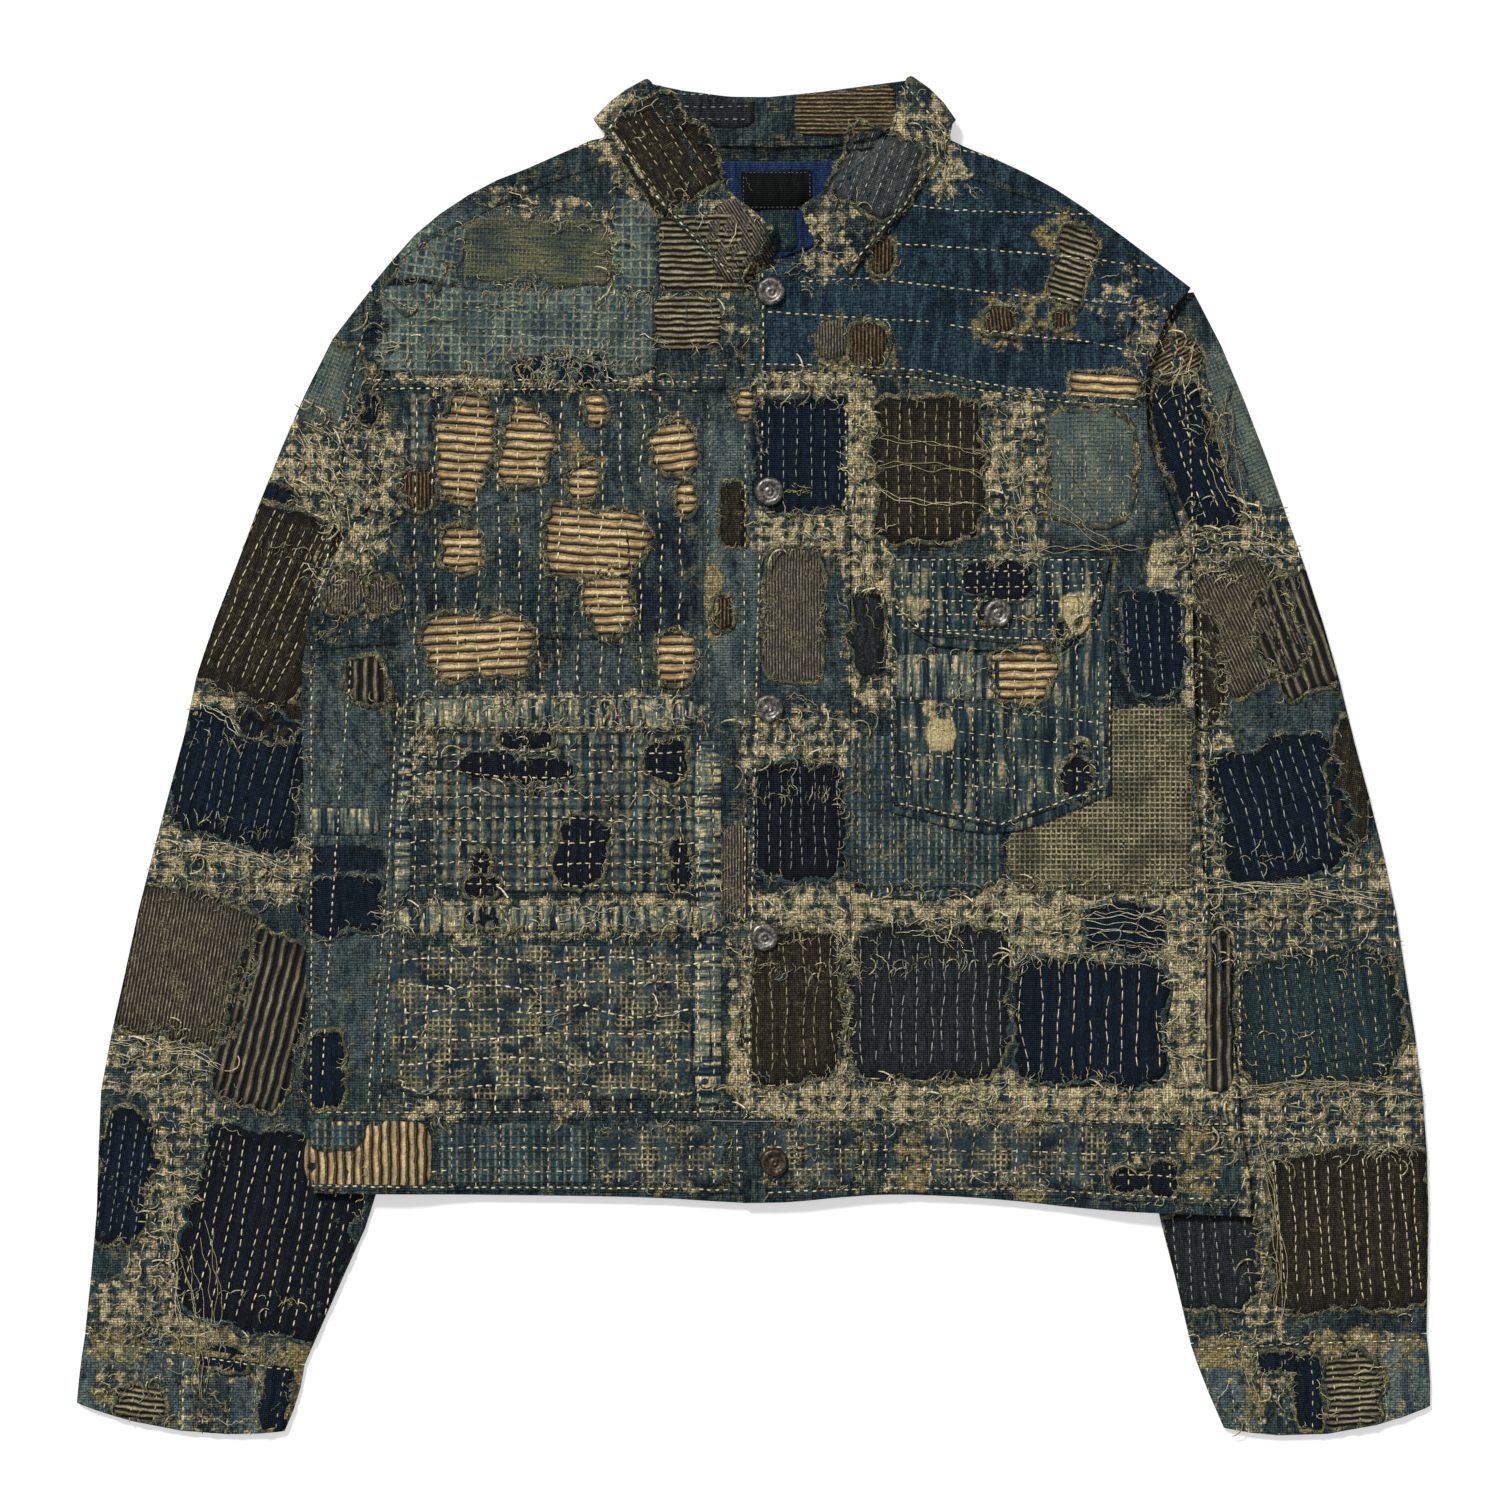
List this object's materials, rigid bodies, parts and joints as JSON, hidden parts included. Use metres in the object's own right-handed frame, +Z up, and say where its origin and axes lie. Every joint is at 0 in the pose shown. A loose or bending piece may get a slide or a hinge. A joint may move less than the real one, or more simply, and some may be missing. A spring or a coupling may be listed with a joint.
{
  "type": "patched boro jacket",
  "caption": "Worn denim work jacket laid flat, front up, covered in sewn patches and running stitch, with a folded collar, chest pocket, waistband and cuffs.",
  "frame": {"origin": "on the surface under the middle of the laid jacket's box", "axes": "+Z up from the surface, +Y from hem to collar, +X to the wearer's left side (the right of the picture)"},
  "size_m": [0.8132, 0.8156, 0.0148],
  "materials": {
    "denim": "washed and fuzzy, matte",
    "dark_denim": "smooth dark indigo, matte",
    "teal": "faded teal, matte",
    "navy": "navy black cotton, matte",
    "brown": "brown wool, matte",
    "charcoal": "charcoal wool, matte",
    "khaki": "khaki corduroy and check, matte",
    "cream": "striped ticking, matte",
    "blue_lining": "blue lining cotton",
    "label": "plain woven label",
    "button_metal": "aged and dull"
  },
  "bodies": {
    "root": {"back_panel": "denim", "waistband_back": "denim", "sleeve_right": "denim", "sleeve_left": "denim", "cuff_right": "teal", "cuff_left": "teal", "front_right": "denim", "front_left": "denim", "yoke_right": "denim", "yoke_left": "dark_denim", "button_band": "denim", "buttonhole_band": "dark_denim", "waistband_right": "denim", "waistband_left": "denim", "collar": "denim", "neck_lining": "blue_lining", "neck_label": "label", "chest_pocket": "teal", "pocket_flap": "teal", "button_1": "button_metal", "button_2": "button_metal", "button_3": "button_metal", "button_4": "button_metal", "button_5": "button_metal", "pocket_button": "button_metal", "patch_brown_chest": "brown", "patch_faded_plaid": "teal", "patch_ribbed_band": "khaki", "patch_navy_side": "navy", "patch_navy_band": "navy", "patch_dashed_teal": "teal", "patch_khaki_check": "khaki", "patch_brown_hem": "brown", "patch_charcoal_hem": "charcoal", "patch_navy_hem": "navy", "patch_stitched_grid": "teal", "patch_chest_ticking": "cream", "patch_lower_grid": "teal", "patch_yoke_ticking": "cream", "patch_shoulder_black": "navy", "patch_yoke_denim": "navy", "patch_brown_sleeve": "brown", "patch_navy_elbow": "navy", "patch_corduroy_right": "khaki", "patch_black_forearm": "navy", "patch_navy_shoulder": "navy", "patch_corduroy_left": "khaki", "patch_navy_sleeve": "navy", "patch_teal_forearm": "teal", "patch_brown_forearm": "brown"}
  },
  "joints": []
}
